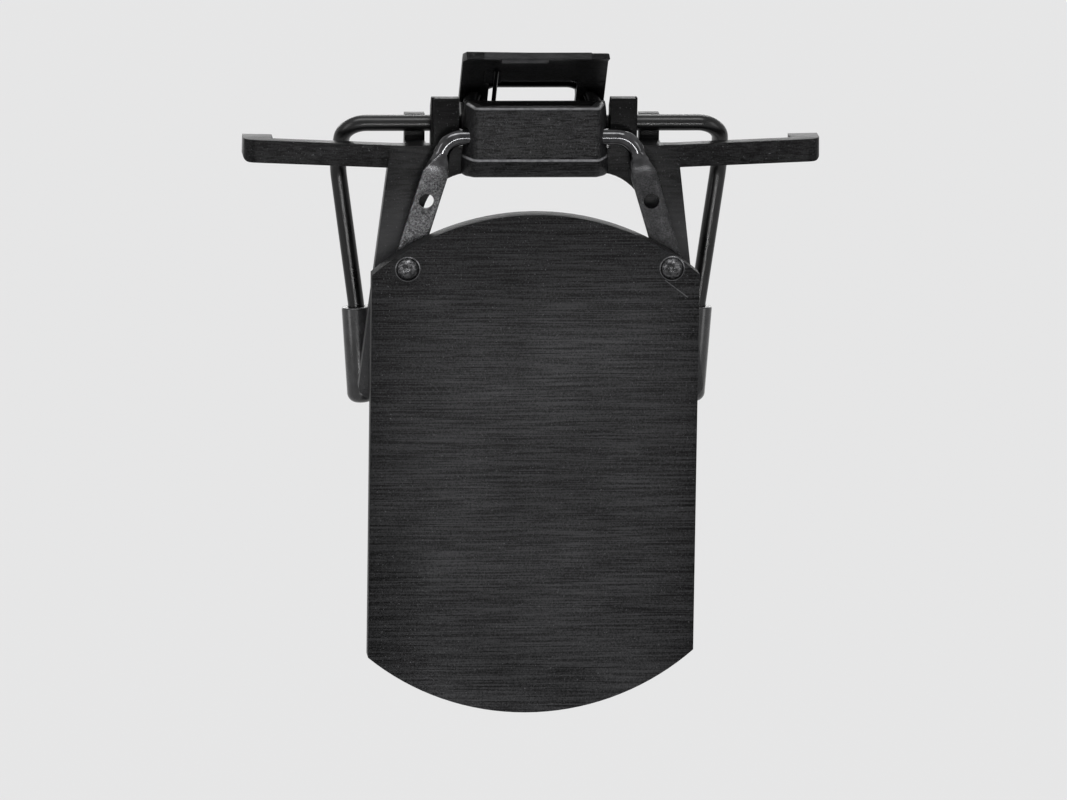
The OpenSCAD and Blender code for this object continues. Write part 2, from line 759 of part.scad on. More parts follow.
// Least gap of the coil to itself, between rings half a turn or more apart
coil_gaps = [for (i = [2 : coil_rings + 2], k = [i + rings_per_turn / 2 : 1 : coil_rings + 2])
    norm(spring_path[i] - spring_path[k]) - spring_wire_d];
echo("least gap of the spring to itself", min(coil_gaps));

// The blinder's wire, plate, rivets and washers turn together
arm_run = rivet_drop / cos(arm_splay);
flip_cut = flip_bend_r * tan((90 - arm_splay) / 2);
flat_start = flip_cut + flat_taper;

// Frame of the right arm: the arm runs down along -Z from the wire's corner
module blinder_arm() {
    translate([flip_corner_x, flip_y, flip_z]) rotate([0, -arm_splay, 0]) children();
}

module blinder_wire() {
    end = [flip_corner_x + flip_cut * sin(arm_splay), flip_y, flip_z - flip_cut * cos(arm_splay)];
    corner = [flip_corner_x, flip_y, flip_z];
    below = end + [sin(arm_splay), 0, -cos(arm_splay)] * thin;
    path = [below, corner, [-corner.x, corner.y, corner.z], [-below.x, below.y, below.z]];
    color(worn_steel) from_flip() {
        bent_wire(path, [0, flip_bend_r, flip_bend_r, 0], wire_d);
        both_sides() blinder_arm() difference() {
            union() {
                // The round wire is pressed flat below its bend
                hull() {
                    translate([0, 0, -flip_cut - thin]) cylinder(d = wire_d, h = thin, $fn = 32);
                    translate([-flat_w / 2, -flat_t / 2, -flat_start]) cube([flat_w, flat_t, thin]);
                }
                upright(-flat_t / 2, flat_t / 2) {
                    translate([-flat_w / 2, -arm_run - flat_tail + flat_w / 2])
                        square([flat_w, arm_run + flat_tail - flat_w / 2 - flat_start + thin]);
                    translate([0, -arm_run - flat_tail + flat_w / 2]) circle(d = flat_w);
                }
            }
            translate([0, flat_t, -arm_run]) rotate([90, 0, 0])
                cylinder(d = rivet_d + 2 * seat_gap, h = 2 * flat_t);
            translate([0, flat_t, -arm_run + spare_pitch]) rotate([90, 0, 0])
                cylinder(d = spare_hole_d, h = 2 * flat_t);
        }
    }
}

// One end of the plate's outline, from its middle to the arc
module plate_half(top, arc_x, sign) {
    middle_z = (plate_top_z + plate_bottom_z) / 2;
    intersection() {
        translate([-plate_shift - plate_w / 2, sign > 0 ? middle_z : middle_z - 2 * plate_side_h])
            square([plate_w, 2 * plate_side_h]);
        translate([arc_x, top - sign * plate_arc_r]) circle(r = plate_arc_r, $fn = arc_fn);
    }
}

module blinder_plate() {
    color(black_plate) from_flip() difference() {
        upright(flat_front - plate_t, flat_front) {
            plate_half(plate_top_z, -plate_shift, 1);
            plate_half(plate_bottom_z, -plate_shift - lower_arc_shift, -1);
        }
        for (side = [-1, 1]) translate([side * rivet_x, flat_front + over, rivet_z])
            rotate([90, 0, 0]) cylinder(d = rivet_d + 2 * seat_gap, h = plate_t + 2 * over);
    }
}

// A domed cap that rises along +Z from a flat base
module dome(d, h) {
    ball_r = (d * d / 4 + h * h) / (2 * h);
    intersection() {
        translate([0, 0, h - ball_r]) sphere(r = ball_r);
        cylinder(d = d + over, h = h + over);
    }
}

module rivet(side) {
    grip = plate_t + flat_t + washer_t;
    color(worn_steel) from_flip() on_side(side)
        translate([rivet_x, flat_front - plate_t, rivet_z]) {
            rotate([90, 0, 0]) dome(rivet_head_d, rivet_head_h);
            rotate([-90, 0, 0]) cylinder(d = rivet_d, h = grip);
            translate([0, grip, 0]) rotate([-90, 0, 0]) dome(rivet_tail_d, rivet_tail_h);
        }
}

module left_rivet() { rivet(-1); }
module right_rivet() { rivet(1); }

module washer(side) {
    color(worn_steel) from_flip() on_side(side)
        translate([rivet_x, flat_back, rivet_z]) rotate([-90, 0, 0]) difference() {
            cylinder(d = washer_d, h = washer_t);
            translate([0, 0, -over]) cylinder(d = rivet_d + 2 * seat_gap, h = washer_t + 2 * over);
        }
}

module left_washer() { washer(-1); }
module right_washer() { washer(1); }

clip_body();
front_cover();
detent_leaf();
jaw_wire();
thumb_lever();
left_sleeve();
right_sleeve();
return_spring();
blinder_wire();
blinder_plate();
left_rivet();
right_rivet();
left_washer();
right_washer();
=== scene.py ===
import math
import bmesh
import bpy
from mathutils import Matrix, Vector


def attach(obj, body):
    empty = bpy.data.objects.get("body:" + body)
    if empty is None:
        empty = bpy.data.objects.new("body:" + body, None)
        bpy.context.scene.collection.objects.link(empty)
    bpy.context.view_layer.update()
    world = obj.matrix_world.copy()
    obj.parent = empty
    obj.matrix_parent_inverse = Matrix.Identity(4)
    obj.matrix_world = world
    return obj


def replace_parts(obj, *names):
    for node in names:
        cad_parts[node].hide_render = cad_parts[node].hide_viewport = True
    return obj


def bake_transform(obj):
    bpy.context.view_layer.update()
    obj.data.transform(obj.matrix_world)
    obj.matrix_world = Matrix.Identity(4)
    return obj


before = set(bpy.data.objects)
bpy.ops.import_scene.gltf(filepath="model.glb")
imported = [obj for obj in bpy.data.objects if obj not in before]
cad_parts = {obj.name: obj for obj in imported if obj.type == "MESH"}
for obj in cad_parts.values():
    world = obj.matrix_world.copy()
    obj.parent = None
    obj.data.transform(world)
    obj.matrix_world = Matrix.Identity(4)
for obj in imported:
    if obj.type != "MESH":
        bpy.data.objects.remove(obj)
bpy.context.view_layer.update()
scene = bpy.context.scene
print("stage: the frame is loaded")

mm = 0.001
# from the frame of the jaw's axis to the part's own frame, in mm
gripOffset = Vector((0.0, -2.65, 22.0))


def place(x, y, z):
    # a point given from the jaw's axis, in metres in the part's frame
    return (Vector((x, y, z)) + gripOffset) * mm


def depthOf(y):
    return place(0, y, 0).y


def heightOf(z):
    return place(0, 0, z).z


# the camera
cameraSettings = {
    "lookAt": (0.24, 0.0, -25.409),   # from the jaw's axis, mm
    "azimuth": 5.0,
    "elevation": 12.04,
    "distance": 975.0,
    "rollClockwise": 0.82,
    "lens": 358.4,
    "sensorWidth": 36.0,
    "clipFrom": 0.05,   # m
    "clipTo": 20.0,
}


def makeCamera(c):
    a, e = math.radians(c["azimuth"]), math.radians(c["elevation"])
    look = Vector((math.sin(a) * math.cos(e), math.cos(a) * math.cos(e), -math.sin(e)))
    data = bpy.data.cameras.new("studioCamera")
    data.lens = c["lens"]
    data.sensor_width = c["sensorWidth"]
    data.clip_start = c["clipFrom"]
    data.clip_end = c["clipTo"]
    cam = bpy.data.objects.new("studioCamera", data)
    scene.collection.objects.link(cam)
    cam.location = place(*c["lookAt"]) - look * c["distance"] * mm
    turn = look.to_track_quat("-Z", "Y").to_matrix().to_4x4()
    roll = Matrix.Rotation(math.radians(c["rollClockwise"]), 4, "Z")
    cam.rotation_euler = (turn @ roll).to_euler()
    scene.camera = cam


makeCamera(cameraSettings)
print("stage: the camera is set")


# helpers for materials
def emptyMaterial(name):
    mat = bpy.data.materials.new(name)
    mat.use_nodes = True
    mat.node_tree.nodes.clear()
    return mat, mat.node_tree, mat.node_tree.nodes.new("ShaderNodeOutputMaterial")


def newMaterial(name):
    mat, tree, out = emptyMaterial(name)
    shader = tree.nodes.new("ShaderNodeBsdfPrincipled")
    tree.links.new(shader.outputs["BSDF"], out.inputs["Surface"])
    return mat, tree, shader


def plug(tree, socket, value):
    # a number or a colour is set, the output of another node is linked
    if isinstance(value, (int, float, tuple)):
        socket.default_value = value
    else:
        tree.links.new(value, socket)


def objectCoordinates(tree, scale=(1, 1, 1), turn=(0, 0, 0), shift=(0, 0, 0)):
    coords = tree.nodes.new("ShaderNodeTexCoord")
    mapping = tree.nodes.new("ShaderNodeMapping")
    mapping.inputs["Location"].default_value = shift
    mapping.inputs["Rotation"].default_value = turn
    mapping.inputs["Scale"].default_value = scale
    tree.links.new(coords.outputs["Object"], mapping.inputs["Vector"])
    return mapping.outputs["Vector"]


def splitAxes(tree, vector):
    s = tree.nodes.new("ShaderNodeSeparateXYZ")
    tree.links.new(vector, s.inputs["Vector"])
    return s.outputs


def noise(tree, vector, scale, detail=3.0, rough=0.55):
    n = tree.nodes.new("ShaderNodeTexNoise")
    n.inputs["Scale"].default_value = scale
    n.inputs["Detail"].default_value = detail
    n.inputs["Roughness"].default_value = rough
    tree.links.new(vector, n.inputs["Vector"])
    return n.outputs["Fac"]


def remap(tree, value, fromLow, fromHigh, toLow=0, toHigh=1):
    m = tree.nodes.new("ShaderNodeMapRange")
    m.inputs["From Min"].default_value = fromLow
    m.inputs["From Max"].default_value = fromHigh
    m.inputs["To Min"].default_value = toLow
    m.inputs["To Max"].default_value = toHigh
    tree.links.new(value, m.inputs["Value"])
    return m.outputs["Result"]


def contrast(tree, value, reach, toLow=0, toHigh=1):
    # stretches a noise about its middle, as far as the reach on either side
    return remap(tree, value, 0.5 - reach, 0.5 + reach, toLow, toHigh)


def maths(tree, kind, a, b=0):
    m = tree.nodes.new("ShaderNodeMath")
    m.operation = kind
    plug(tree, m.inputs[0], a)
    plug(tree, m.inputs[1], b)
    return m.outputs["Value"]


def times(tree, a, b):
    return maths(tree, "MULTIPLY", a, b)


def within(tree, value, limit):
    # 1 where the value is less than the limit on either side of zero
    return maths(tree, "LESS_THAN", maths(tree, "ABSOLUTE", value), limit)


def blendColours(tree, factor, first, second):
    m = tree.nodes.new("ShaderNodeMix")
    m.data_type = "RGBA"
    for name, value in (("Factor", factor), ("A", first), ("B", second)):
        plug(tree, m.inputs[name], value)
    return m.outputs["Result"]


def grey(v):
    # a grey with a trace of blue
    return (v, v, v * 1.03, 1.0)


def bump(tree, height, strength, relief):
    b = tree.nodes.new("ShaderNodeBump")
    b.inputs["Strength"].default_value = strength
    b.inputs["Distance"].default_value = relief * mm
    tree.links.new(height, b.inputs["Height"])
    return b.outputs["Normal"]


wearReach = 0.2   # how far from its middle a noise takes the roughness to its two values


def finishShader(tree, shader, s, colour, wear, height):
    # the colour, a roughness that goes with the wear, and a fine relief
    tree.links.new(colour, shader.inputs["Base Color"])
    tree.links.new(contrast(tree, wear, wearReach, *s["roughness"]), shader.inputs["Roughness"])
    shader.inputs["Specular IOR Level"].default_value = s["specular"]
    tree.links.new(bump(tree, height, s["bump"], s["relief"]), shader.inputs["Normal"])


def linedGrain(tree, vector, s):
    # level lines mixed with a grain that has no direction; the lines come back by themselves too
    lines = noise(tree, objectCoordinates(tree, s["stretch"]), *s["lines"])
    grain = noise(tree, vector, *s["grain"])
    share = s["lineShare"]
    return lines, maths(tree, "ADD", times(tree, lines, share), times(tree, grain, 1 - share))


# The finishes. A noise is given by its scale, detail and roughness. A range is the low and
# high value of a noise, and what they become where that isn't 0 and 1. A contrast is the reach
# on either side of a noise's middle, and a relief is in mm.
def mouldedPlastic(name, s):
    mat, tree, shader = newMaterial(name)
    vector = objectCoordinates(tree)
    texture = linedGrain(tree, vector, s)[1]
    height = splitAxes(tree, vector)["Z"]
    low = remap(tree, height, heightOf(s["palerFrom"]), heightOf(s["palerTo"]), 0, s["paler"])
    high = remap(tree, height, heightOf(s["paintedEarShadeFrom"]), heightOf(s["paintedEarShadeTo"]), 0, s["paintedEarShade"])
    dust = remap(tree, noise(tree, vector, *s["dust"]), *s["dustRange"])
    tone = contrast(tree, texture, s["contrast"])
    base = blendColours(tree, tone, grey(s["dark"]), grey(s["light"]))
    base = blendColours(tree, low, base, grey(s["palerColour"]))
    # painted shade: from a little below the ears upwards the plastic is blended towards the dark
    # tone
    base = blendColours(tree, high, base, grey(s["dark"]))
    base = blendColours(tree, dust, base, grey(s["dustColour"]))
    # painted highlights: each level line is blended towards its paler colour
    for line in s["paleStrips"]:
        base = blendColours(tree, paintedHighlightLine(tree, line), base, grey(line["colour"]))
    finishShader(tree, shader, s, base, noise(tree, vector, *s["cloud"]), texture)
    return mat


def paintedHighlightLine(tree, s):
    # a level line painted paler along an edge, in patches: a painted highlight where the rounded
    # edge would catch the light
    vector = objectCoordinates(tree)
    above = maths(tree, "SUBTRACT", splitAxes(tree, vector)["Z"], heightOf(s["height"]))
    halfWidth = s["halfWidth"] * mm
    near = remap(tree, maths(tree, "ABSOLUTE", above), halfWidth, halfWidth * s["core"])
    return times(tree, near, remap(tree, noise(tree, vector, *s["patches"]), *s["patchRange"]))


plasticFinish = {
    "stretch": (0.1, 1, 1), "lines": (6200, 3, 0.6), "grain": (7200, 3, 0.7), "lineShare": 0.55,
    "cloud": (260, 4), "dark": 0.0005, "light": 0.012, "contrast": 0.08,
    "dust": (5200, 2, 0.6), "dustRange": (0.66, 0.72, 0, 0.7), "dustColour": 0.07,
    # the legs are a little paler
    "palerFrom": -5.0, "palerTo": -10.0, "paler": 0.5, "palerColour": 0.05,
    # and the ears a little darker, a painted shade where they sit in shadow
    "paintedEarShadeFrom": -1.6, "paintedEarShadeTo": -0.6, "paintedEarShade": 0.7,
    "roughness": (0.32, 0.42), "specular": 0.07, "bump": 0.9, "relief": 0.03, "paleStrips": (),
}
highlightLineSettings = {"core": 0.4, "patches": (2000, 3), "patchRange": (0.3, 0.6, 0.5, 1)}
# painted highlights: the cover's crease above the slope and its top edge are paler lines, where the
# rounding would catch the top light
coverFinish = dict(plasticFinish, paler=0, paintedEarShade=0, light=0.022, paleStrips=(
    dict(highlightLineSettings, height=-2.5, halfWidth=0.16, colour=0.2),
    dict(highlightLineSettings, height=2.3, halfWidth=0.13, colour=0.14)))


def leverPlastic(name, s):
    # nearly black, with a paler strip along the lip's front edge, in patches
    mat, tree, shader = newMaterial(name)
    vector = objectCoordinates(tree)
    axes = splitAxes(tree, vector)
    grain = noise(tree, vector, *s["grain"])
    patch = noise(tree, objectCoordinates(tree, s["stretch"]), *s["patches"])
    middle = within(tree, axes["X"], s["stripHalfWidth"] * mm)
    front = remap(tree, axes["Y"], depthOf(s["stripFrom"]), depthOf(s["stripTo"]))
    paleStrips = times(tree, times(tree, middle, front), remap(tree, patch, *s["patchRange"]))
    tone = contrast(tree, grain, s["contrast"])
    base = blendColours(tree, tone, grey(s["dark"]), grey(s["light"]))
    base = blendColours(tree, paleStrips, base, grey(s["stripColour"]))
    finishShader(tree, shader, s, base, patch, grain)
    return mat


leverFinish = {
    "grain": (6500, 3, 0.7), "patches": (2400, 4, 0.7), "stretch": (0.25, 1, 1),
    "patchRange": (0.3, 0.65, 0.25, 1), "dark": 0.003, "light": 0.01, "contrast": 0.1,
    "stripHalfWidth": 4.9, "stripFrom": -2.2, "stripTo": -2.3, "stripColour": 0.03,
    "roughness": (0.34, 0.5), "specular": 0.09, "bump": 0.3, "relief": 0.03,
}


def coatedWire(name, s):
    mat, tree, shader = newMaterial(name)
    vector = objectCoordinates(tree)
    cloud = noise(tree, vector, *s["cloud"])
    tone = contrast(tree, cloud, s["contrast"])
    base = blendColours(tree, tone, grey(s["dark"]), grey(s["light"]))
    # painted shade: near the middle, where the crank sits inside the lever, the wire is darkened
    # and made metallic
    paintedCrankShade = within(tree, splitAxes(tree, vector)["X"], s["crankShadeHalfWidth"] * mm)
    base = blendColours(tree, paintedCrankShade, base, grey(s["crankShadeColour"]))
    tree.links.new(paintedCrankShade, shader.inputs["Metallic"])
    finishShader(tree, shader, s, base, cloud, noise(tree, vector, *s["pits"]))
    return mat


wireFinish = {
    "cloud": (420, 4), "pits": (2600, 3), "dark": 0.001, "light": 0.004, "contrast": 0.15,
    "crankShadeHalfWidth": 6.8, "crankShadeColour": 0.004,   # painted shade: the crank inside the lever is darkened to near black and made metallic
    "roughness": (0.24, 0.34), "specular": 0.3, "bump": 0.12, "relief": 0.03,
}


def wornSpeckles(tree, vector, s):
    # the speckles, the patches, and where both together wear the metal bare
    speckle = noise(tree, vector, *s["speckles"])
    patch = noise(tree, vector, *s["patches"])
    worn = times(tree, remap(tree, speckle, *s["speckleRange"]),
                 remap(tree, patch, *s["patchRange"]))
    return speckle, patch, worn


def flippingSteel(name, s):
    # smooth dark wire above, worn and speckled where the wire is pressed flat
    mat, tree, shader = newMaterial(name)
    vector = objectCoordinates(tree)
    axes = splitAxes(tree, vector)
    speckle, patch, worn = wornSpeckles(tree, vector, s)
    flat = remap(tree, axes["Z"], heightOf(s["roundAbove"]), heightOf(s["flatBelow"]))
    side = s["bareShareHalfWidth"] * mm
    across = remap(tree, axes["X"], -side, side, s["leftBareShare"], s["rightBareShare"])
    bare = times(tree, worn, across)
    flatColour = blendColours(tree, bare, grey(s["flatDark"]), grey(s["flatBare"]))
    tone = contrast(tree, patch, s["contrast"])
    roundColour = blendColours(tree, tone, grey(s["roundDark"]), grey(s["roundLight"]))
    base = blendColours(tree, flat, roundColour, flatColour)
    rough = maths(tree, "ADD", times(tree, flat, s["flatRough"]), s["roundRough"])
    normal = bump(tree, times(tree, speckle, flat), s["bump"], s["relief"])
    tree.links.new(base, shader.inputs["Base Color"])
    tree.links.new(rough, shader.inputs["Roughness"])
    tree.links.new(normal, shader.inputs["Normal"])
    shader.inputs["Metallic"].default_value = 1.0
    return mat


flipFinish = {
    "speckles": (7500, 4, 0.8), "speckleRange": (0.4, 0.66),
    "patches": (900, 4, 0.6), "patchRange": (0.3, 0.65, 0.3, 1), "contrast": 0.1,
    "roundAbove": -3.1, "flatBelow": -4.0,
    "flatDark": 0.014, "flatBare": 0.17, "roundDark": 0.04, "roundLight": 0.075,
    "leftBareShare": 0.95, "rightBareShare": 0.25, "bareShareHalfWidth": 10.0,   # the left flat gets more of the pale bare speckles than the right one
    "roundRough": 0.12, "flatRough": 0.25,   # the flats are this much rougher than the round wire
    "bump": 0.7, "relief": 0.04,
}


def wornMetal(name, s):
    mat, tree, shader = newMaterial(name)
    speckle, _, worn = wornSpeckles(tree, objectCoordinates(tree), s)
    base = blendColours(tree, worn, grey(s["dark"]), grey(s["bare"]))
    shader.inputs["Metallic"].default_value = 1.0
    finishShader(tree, shader, s, base, speckle, speckle)
    return mat


rivetFinish = {
    "speckles": (3600, 5, 0.75), "speckleRange": (0.42, 0.62),
    "patches": (900, 3), "patchRange": (0.3, 0.6, 0.25, 1), "dark": 0.02, "bare": 0.14,
    "roughness": (0.34, 0.16), "specular": 0.5, "bump": 0.9, "relief": 0.04,
}
rimFinish = dict(rivetFinish, dark=0.06, bare=0.12, bump=0.4)
washerFinish = dict(rivetFinish, dark=0.12, bare=0.35)
springFinish = dict(rivetFinish, dark=0.02, bare=0.06, roughness=(0.4, 0.25), bump=0.15)
leafFinish = dict(rivetFinish, dark=0.35, bare=0.6, roughness=(0.3, 0.2), bump=0.1)


def brushedSheet(name, s):
    mat, tree, shader = newMaterial(name)
    vector = objectCoordinates(tree)
    axes = splitAxes(tree, vector)
    lines, texture = linedGrain(tree, vector, s)
    # a painted reflection makes both tones paler over the middle of the sheet, in patches
    away = maths(tree, "ABSOLUTE", axes["X"])
    across = remap(tree, away, s["reflectionOuter"] * mm, s["reflectionInner"] * mm)
    down = remap(tree, axes["Z"], heightOf(s["reflectionTop"]), heightOf(s["reflectionFull"]))
    cloud = remap(tree, noise(tree, vector, *s["cloud"]), *s["cloudRange"])
    paintedReflection = times(tree, times(tree, across, down), cloud)
    dark = blendColours(tree, paintedReflection, grey(s["dark"]), grey(s["reflectionDark"]))
    light = blendColours(tree, paintedReflection, grey(s["light"]), grey(s["reflectionLight"]))
    base = blendColours(tree, contrast(tree, texture, s["contrast"]), dark, light)
    specks = remap(tree, noise(tree, vector, *s["specks"]), *s["speckRange"])
    base = blendColours(tree, specks, base, grey(s["speckColour"]))
    base = blendColours(tree, scratchMask(tree, s["scratch"]), base, grey(s["speckColour"]))
    finishShader(tree, shader, s, base, lines, texture)
    return mat


def scratchMask(tree, s):
    # a thin broken line on the front face
    turn = math.radians(s["turn"])
    middle = place(*s["middle"])
    middle.y = 0
    shift = -(Matrix.Rotation(turn, 3, "Y") @ middle)
    axes = splitAxes(tree, objectCoordinates(tree, (1, 1, 1), (0, turn, 0), tuple(shift)))
    near = remap(tree, maths(tree, "ABSOLUTE", axes["Z"]), 0, s["width"] * mm, 1, 0)
    along = within(tree, axes["X"], s["halfLength"] * mm)
    front = maths(tree, "LESS_THAN", axes["Y"], depthOf(s["inFrontOf"]))
    broken = remap(tree, noise(tree, objectCoordinates(tree), *s["breaks"]), *s["breakRange"])
    return times(tree, times(tree, near, along), times(tree, front, broken))


sheetFinish = {
    "stretch": (0.02, 1, 1), "lines": (8500, 3, 0.65), "grain": (6200, 3, 0.75), "lineShare": 0.55,
    "dark": 0.0003, "light": 0.018, "contrast": 0.08,
    "specks": (5200, 2, 0.6), "speckRange": (0.66, 0.72, 0, 0.6), "speckColour": 0.1,
    # painted reflection: paler over the sheet's middle, fading towards the sides and the top
    "cloud": (90, 3), "cloudRange": (0.35, 0.65, 0.4, 1), "reflectionDark": 0.01, "reflectionLight": 0.043,
    "reflectionOuter": 16.0, "reflectionInner": 9.0, "reflectionTop": -8.0, "reflectionFull": -20.0,
    "roughness": (0.36, 0.5), "specular": 0.05, "bump": 1.0, "relief": 0.03,
    "scratch": {"middle": (12.87, 0, -14.28), "turn": -37.1, "halfLength": 1.33, "width": 0.05,
                "inFrontOf": -3.0, "breaks": (2600, 2), "breakRange": (0.38, 0.55, 0, 0.9)},
}


def vinyl(name, s):
    mat, tree, shader = newMaterial(name)
    vector = objectCoordinates(tree)
    cloud = noise(tree, vector, *s["cloud"])
    tone = contrast(tree, cloud, s["contrast"])
    base = blendColours(tree, tone, grey(s["dark"]), grey(s["light"]))
    shader.inputs["Coat Weight"].default_value = s["coat"]
    shader.inputs["Coat Roughness"].default_value = s["coatRough"]
    finishShader(tree, shader, s, base, cloud, noise(tree, vector, *s["ripples"]))
    return mat


vinylFinish = {
    "cloud": (600, 3), "ripples": (420, 2), "dark": 0.012, "light": 0.026, "contrast": 0.15,
    "roughness": (0.2, 0.3), "specular": 0.3, "coat": 0.25, "coatRough": 0.12,
    "bump": 0.35, "relief": 0.1,
}

finishes = {name: make(name, settings) for name, make, settings in (
    ("clipPlastic", mouldedPlastic, plasticFinish),
    ("coverPlastic", mouldedPlastic, coverFinish),
    ("leverPlastic", leverPlastic, leverFinish),
    ("jawWireCoat", coatedWire, wireFinish),
    ("flippingSteel", flippingSteel, flipFinish),
    ("rivetMetal", wornMetal, rivetFinish),
    ("rimMetal", wornMetal, rimFinish),
    ("washerMetal", wornMetal, washerFinish),
    ("springSteel", wornMetal, springFinish),
    ("leafSteel", wornMetal, leafFinish),
    ("blackSheet", brushedSheet, sheetFinish),
    ("blackVinyl", vinyl, vinylFinish),
)}
print("stage: the finishes are made")


# rounded copies of the solids, each in its node's place
def addPiece(work, newName, body, finish, shadeAngle):
    mesh = bpy.data.meshes.new(newName)
    work.to_mesh(mesh)
    work.free()
    mesh.shade_smooth()
    mesh.set_sharp_from_angle(angle=math.radians(shadeAngle))
    piece = bpy.data.objects.new(newName, mesh)
    scene.collection.objects.link(piece)
    mesh.materials.append(finish)
    if body:
        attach(piece, body)
    return piece


def roundEdges(work, edges, size, segments):
    bmesh.ops.bevel(work, geom=edges, offset=size * mm, offset_type="OFFSET", segments=segments,
                    profile=0.5, affect="EDGES", clamp_overlap=True, material=-1)


def sharpEdges(work, angle):
    limit = math.radians(angle)
    return [e for e in work.edges if len(e.link_faces) == 2 and e.calc_face_angle(0) > limit]


def outerEdges(edges, middle):
    # edges between two faces that both look away from the middle
    def looksOut(face):
        return face.normal.dot(face.calc_center_median() - middle) > 0
    return [e for e in edges if all(looksOut(f) for f in e.link_faces)]


def pressFlush(work, top, foot):
    # whatever stands proud of the sloping face through two points is pressed back into it
    along = foot - top
    outward = Vector((0, along.z, -along.y)).normalized()
    for v in work.verts:
        proud = (v.co - top).dot(outward)
        if proud > 0:
            v.co -= outward * proud


def inside(point, box):
    # true for a point within the box on either side of the middle
    low, high = (place(*corner) for corner in box)
    mirrored = (abs(point.x), point.y, point.z)
    return all(a < p < b for a, p, b in zip(low, mirrored, high))


def roomyEdges(edges, room):
    # edges whose unrounded neighbours are long enough for the rounding
    chosen = set(edges)

    def roomy(vertex):
        return all(e in chosen or e.calc_length() > room * mm for e in vertex.link_edges)
    return [e for e in edges if roomy(e.verts[0]) and roomy(e.verts[1])]


def roundedCopy(node, newName, body, finish, s):
    work = bmesh.new()
    work.from_mesh(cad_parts[node].data)
    bmesh.ops.remove_doubles(work, verts=work.verts, dist=s["merge"] * mm)
    bmesh.ops.dissolve_limit(work, angle_limit=math.radians(s["flatAngle"]),
                             verts=work.verts, edges=work.edges)
    if "slope" in s:
        pressFlush(work, place(*s["slope"][0]), place(*s["slope"][1]))
    if "plainEnds" in s:
        ends = [v for v in work.verts if inside(v.co, s["plainEnds"])]
        bmesh.ops.remove_doubles(work, verts=ends, dist=s["endMerge"] * mm)
    for box, size in s["first"]:
        sharp = sharpEdges(work, s["sharpAngle"])
        near = [e for e in sharp if all(inside(v.co, box) for v in e.verts)]
        roundEdges(work, roomyEdges(near, s["room"] * size), size, s["segments"])
    if "outerRound" in s:
        outer = outerEdges(sharpEdges(work, s["sharpAngle"]), place(*s["middle"]))
        long = [e for e in outer if e.calc_length() > s["shortest"] * mm]
        roundEdges(work, long, s["outerRound"], s["outerSegments"])
    if s["round"]:
        sharp = sharpEdges(work, s["sharpAngle"])
        roundEdges(work, roomyEdges(sharp, s["room"] * s["round"]), s["round"], s["segments"])
    bmesh.ops.triangulate(work, faces=work.faces)
    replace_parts(addPiece(work, newName, body, finish, s["shadeAngle"]), node)


# sizes in mm, angles in degrees
rounding = {
    "merge": 0.002, "flatAngle": 1.5, "sharpAngle": 38, "round": 0.12, "segments": 3,
    "shadeAngle": 40,
    "room": 1.05,   # the length that a neighbouring edge needs, as a share of the rounding
    "first": (),    # boxes whose edges are rounded before the others, each with its own size
}
earBox = ((6.8, -0.1, 1.0), (9.6, 2.4, 3.0))
armBox = ((10.5, -0.2, -3.7), (26.6, 2.9, -1.3))
clipRounding = dict(rounding, round=0.1, first=((earBox, 0.09), (armBox, 0.12)))
# the cover's long edges that look away from its middle are rounded, and its pegs pressed flush
# with the slope
coverRounding = dict(rounding, merge=0.03, sharpAngle=34, round=0, middle=(0, -1.5, 0),
                     outerRound=0.28, outerSegments=4, shortest=1.7,
                     slope=((0, -3.0, -2.45), (0, -1.3, -4.4)))
# the lip's small end steps are merged and rounded as one
lipEnds = ((6.1, -2.7, 6.1), (6.8, 0.2, 7.7))
leverRounding = dict(rounding, round=0.1, plainEnds=lipEnds, endMerge=0.5, first=((lipEnds, 0.3),))
plateRounding = dict(rounding, round=0.16)
flipRounding = dict(rounding, round=0.08, sharpAngle=55, flatAngle=0.5)
plainRounding = dict(rounding, round=0, flatAngle=0.2, shadeAngle=50)
sleeveRounding = dict(rounding, round=0.16, flatAngle=0.5, sharpAngle=60)
rivetRounding = dict(rounding, round=0.08, flatAngle=0.3, sharpAngle=50)

roundedCopy("clip_body", "clipFrame", "clip", finishes["clipPlastic"], clipRounding)
roundedCopy("front_cover", "axleCover", "clip", finishes["coverPlastic"], coverRounding)
roundedCopy("thumb_lever", "thumbLever", "jaw", finishes["leverPlastic"], leverRounding)
roundedCopy("blinder_plate", "blinderPlate", "blinder", finishes["blackSheet"], plateRounding)
roundedCopy("blinder_wire", "flippingWire", "blinder", finishes["flippingSteel"], flipRounding)
roundedCopy("jaw_wire", "jawWire", "jaw", finishes["jawWireCoat"], plainRounding)
for side in ("left", "right"):
    roundedCopy(side + "_sleeve", side + "Sleeve", "jaw", finishes["blackVinyl"], sleeveRounding)
    roundedCopy(side + "_rivet", side + "Rivet", "blinder", finishes["rivetMetal"], rivetRounding)
    roundedCopy(side + "_washer", side + "Washer", "blinder", finishes["washerMetal"],
                plainRounding)
roundedCopy("detent_leaf", "bowedLeaf", "clip", finishes["leafSteel"], plainRounding)
print("stage: the solids are rounded")


# the return spring, drawn out along its path
springSettings = {
    "wireRadius": 0.21, "sides": 12, "coilRadius": 1.68, "pitch": 0.84,
    "turned": 1212.0, "stepsPerTurn": 28,      # degrees in all, and rings in each turn
    "upperLegX": -3.55, "axisDepth": 2.6, "lean": 42.0,
    "legLength": 5.6, "legSteps": 6, "footDepth": 0.55, "footSteps": 4,
    "clipEndX": -0.95, "jawEndX": -3.3,        # from the clip to the jaw
    "shadeAngle": 50,
}


